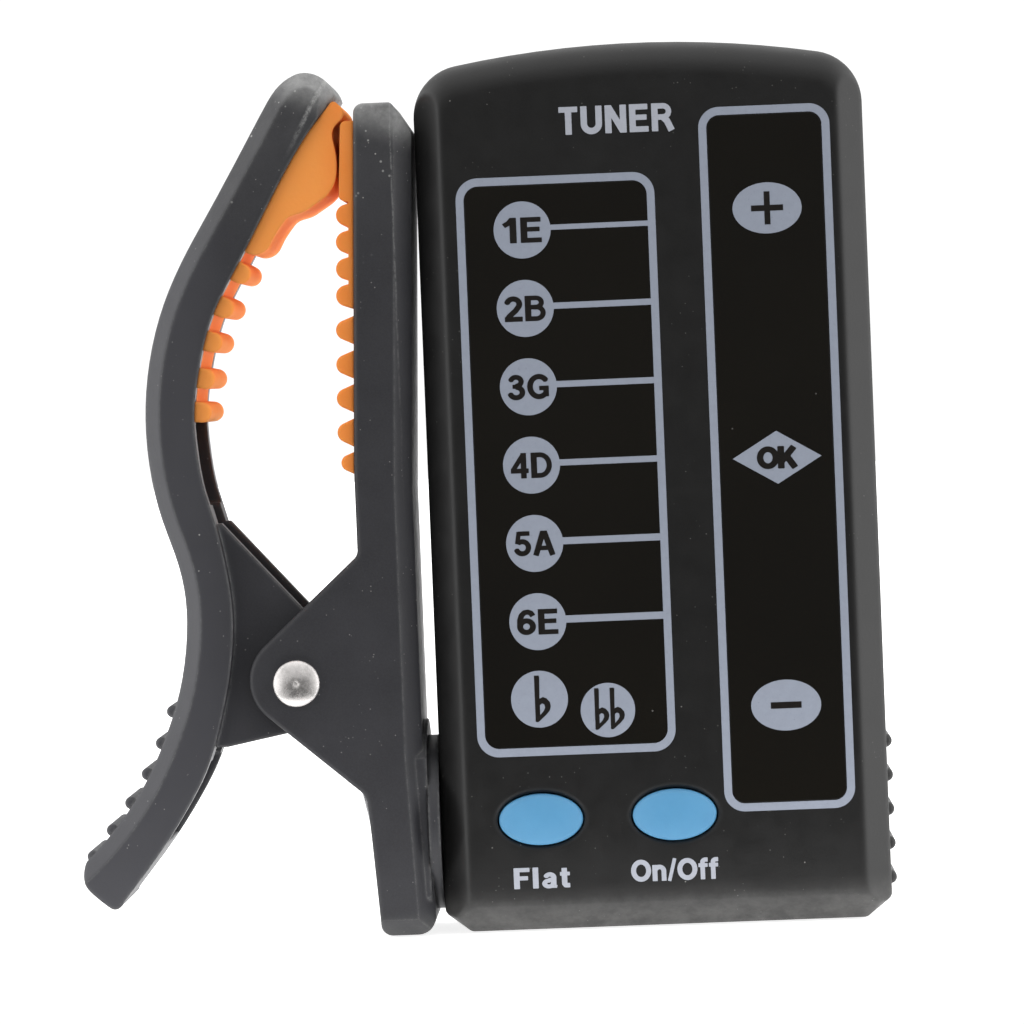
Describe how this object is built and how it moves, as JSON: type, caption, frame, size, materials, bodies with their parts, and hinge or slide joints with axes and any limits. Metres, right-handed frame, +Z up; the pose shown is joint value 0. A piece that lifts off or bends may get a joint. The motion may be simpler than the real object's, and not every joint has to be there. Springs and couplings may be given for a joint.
{
  "type": "clip on tuner",
  "caption": "Clip on tuner: an upright case with smoked windows and oval push buttons, joined by a round swivel to a spring clamp with toothed rubber grip pads.",
  "frame": {"origin": "centre of the bounding box's base, level with the foot of the case and of the fixed jaw", "axes": "+Z up along the case, the tuner's face looks towards -Y, the clamp is on the -X side"},
  "size_m": [0.0654, 0.0156, 0.0709],
  "materials": {
    "jaw_plastic": "fine satin moulding grain",
    "case_plastic": "fine satin moulding grain",
    "grip_rubber": "soft matt elastomer",
    "ring_rubber": "matt",
    "rivet_steel": "polished",
    "spring_steel": "drawn wire",
    "screw_steel": "zinc plated",
    "pickup_brass": "bright",
    "pickup_ceramic": "silvered ceramic",
    "lead_jacket": "flexible jacket",
    "smoked_lens": "smoked clear plastic, gloss",
    "mask_plastic": "matt",
    "led_package": "clear epoxy",
    "board_laminate": "solder mask",
    "chip_epoxy": "matt",
    "can_metal": "satin",
    "switch_body": "matt",
    "button_blue": "satin",
    "cell_steel": "satin",
    "contact_plate": "nickel plated",
    "print_ink": "screen printed, satin",
    "print_dark": "clear of ink: the dark window shows through"
  },
  "bodies": {
    "clip_base": {"fixed_jaw": "jaw_plastic", "fixed_jaw_pad": "grip_rubber", "pivot_rivet": "rivet_steel", "torsion_spring": "spring_steel", "piezo_disc": "pickup_brass", "piezo_ceramic": "pickup_ceramic", "pickup_lead": "lead_jacket", "swivel_hub": "jaw_plastic", "swivel_screws": "screw_steel", "swivel_friction_ring": "ring_rubber"},
    "moving_jaw": {"moving_jaw": "jaw_plastic", "moving_jaw_pad": "grip_rubber"},
    "tuner_case": {"front_shell": "case_plastic", "rear_shell": "case_plastic", "string_window": "smoked_lens", "pitch_window": "smoked_lens", "string_light_mask": "mask_plastic", "pitch_light_mask": "mask_plastic", "string_leds": "led_package", "pitch_leds": "led_package", "circuit_board": "board_laminate", "tuner_chip": "chip_epoxy", "amplifier_chip": "chip_epoxy", "crystal": "can_metal", "board_screws": "screw_steel", "small_components": "chip_epoxy", "flat_switch": "switch_body", "power_switch": "switch_body", "coin_cell": "cell_steel", "battery_contact_negative": "contact_plate", "battery_contact_positive": "contact_plate", "case_screws": "screw_steel", "board_lead": "lead_jacket"},
    "flat_button": {"flat_button": "button_blue", "flat_switch_plunger": "switch_body"},
    "power_button": {"power_button": "button_blue", "power_switch_plunger": "switch_body"},
    "battery_door": {"battery_door": "case_plastic"}
  },
  "joints": [
    {"name": "jaw_open", "type": "hinge", "parent": "clip_base", "child": "moving_jaw", "pos_m": [-0.01488, 0.00017, 0.02068], "axis": [0, -1, 0], "range_deg": [0, 52], "stiffness_Nm_per_rad": 0.14, "springref_deg": -49.27, "deforming": ["torsion_spring"]},
    {"name": "swivel", "type": "hinge", "parent": "clip_base", "child": "tuner_case", "pos_m": [-0.00377, 0.00017, 0.00864], "axis": [1, 0, 0], "range_deg": [-180, 180]},
    {"name": "flat_button_press", "type": "slide", "parent": "tuner_case", "child": "flat_button", "axis": [0, 1, 0], "range_m": [0, 0.0004], "stiffness_N_per_m": 1500, "springref_m": -0.0001},
    {"name": "power_button_press", "type": "slide", "parent": "tuner_case", "child": "power_button", "axis": [0, 1, 0], "range_m": [0, 0.0004], "stiffness_N_per_m": 1500, "springref_m": -0.0001},
    {"name": "battery_door_open", "type": "hinge", "parent": "tuner_case", "child": "battery_door", "pos_m": [0.01423, 0.00736, 0.0271], "axis": [-1, 0, 0], "range_deg": [0, 95]}
  ]
}
